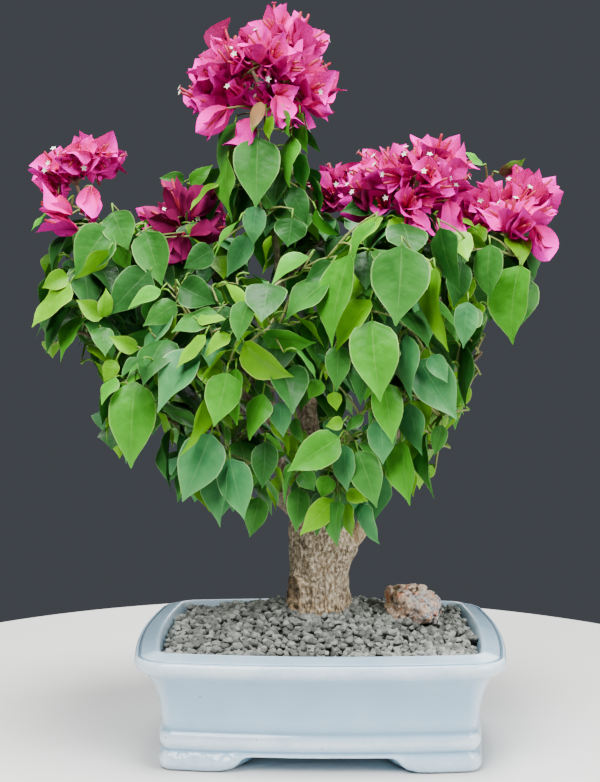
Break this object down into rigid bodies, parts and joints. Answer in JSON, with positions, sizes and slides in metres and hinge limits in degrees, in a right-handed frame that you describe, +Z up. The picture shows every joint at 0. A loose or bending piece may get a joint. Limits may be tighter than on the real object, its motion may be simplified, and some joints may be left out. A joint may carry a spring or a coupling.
{
  "type": "bougainvillea bonsai in a pot",
  "caption": "Flowering bonsai with a stout trunk, boughs, drooping leafy masses and magenta blossom domes, standing on gravel in an oblong glazed pot with corner feet.",
  "frame": {"origin": "middle of the whole plant's box, on the level that the pot's feet stand on; the pot itself stands 20 mm to the right and 24 mm to the front of it", "axes": "+Z up along the trunk, +X to the right as seen from the front, -Y towards the front"},
  "size_m": [0.3917, 0.2952, 0.5281],
  "materials": {
    "glaze": "pale blue-grey gloss glaze",
    "gravel": "dry grey angular gravel",
    "rock": "rough pitted orange-pink and grey stone",
    "bark": "corky grey-brown bark",
    "foliage": "satin green leaves and papery magenta bracts"
  },
  "bodies": {
    "root": {"pot": "glaze", "soil": "gravel", "stone": "rock", "trunk": "bark", "leader_bough": "bark", "right_limb_bough": "bark", "low_left_bough": "bark", "low_centre_bough": "bark", "back_low_bough": "bark", "back_left_bough": "bark", "back_centre_bough": "bark", "left_low_bough": "bark", "left_tip_bough": "bark", "left_back_bough": "bark", "left_bough": "bark", "centre_left_bough": "bark", "centre_bough": "bark", "back_left_upper_bough": "bark", "back_right_upper_bough": "bark", "right_low_bough": "bark", "back_right_bough": "bark", "right_side_bough": "bark", "right_outer_bough": "bark", "right_back_bough": "bark", "right_front_bough": "bark", "leader_mass": "foliage", "left_mass": "foliage", "left_tip_mass": "foliage", "left_back_mass": "foliage", "left_low_mass": "foliage", "centre_left_mass": "foliage", "low_left_mass": "foliage", "centre_mass": "foliage", "low_centre_mass": "foliage", "right_front_mass": "foliage", "right_limb_mass": "foliage", "right_outer_mass": "foliage", "right_side_mass": "foliage", "right_low_mass": "foliage", "right_back_mass": "foliage", "back_left_upper_mass": "foliage", "back_right_upper_mass": "foliage", "back_left_mass": "foliage", "back_centre_mass": "foliage", "back_right_mass": "foliage", "back_low_mass": "foliage"}
  },
  "joints": []
}
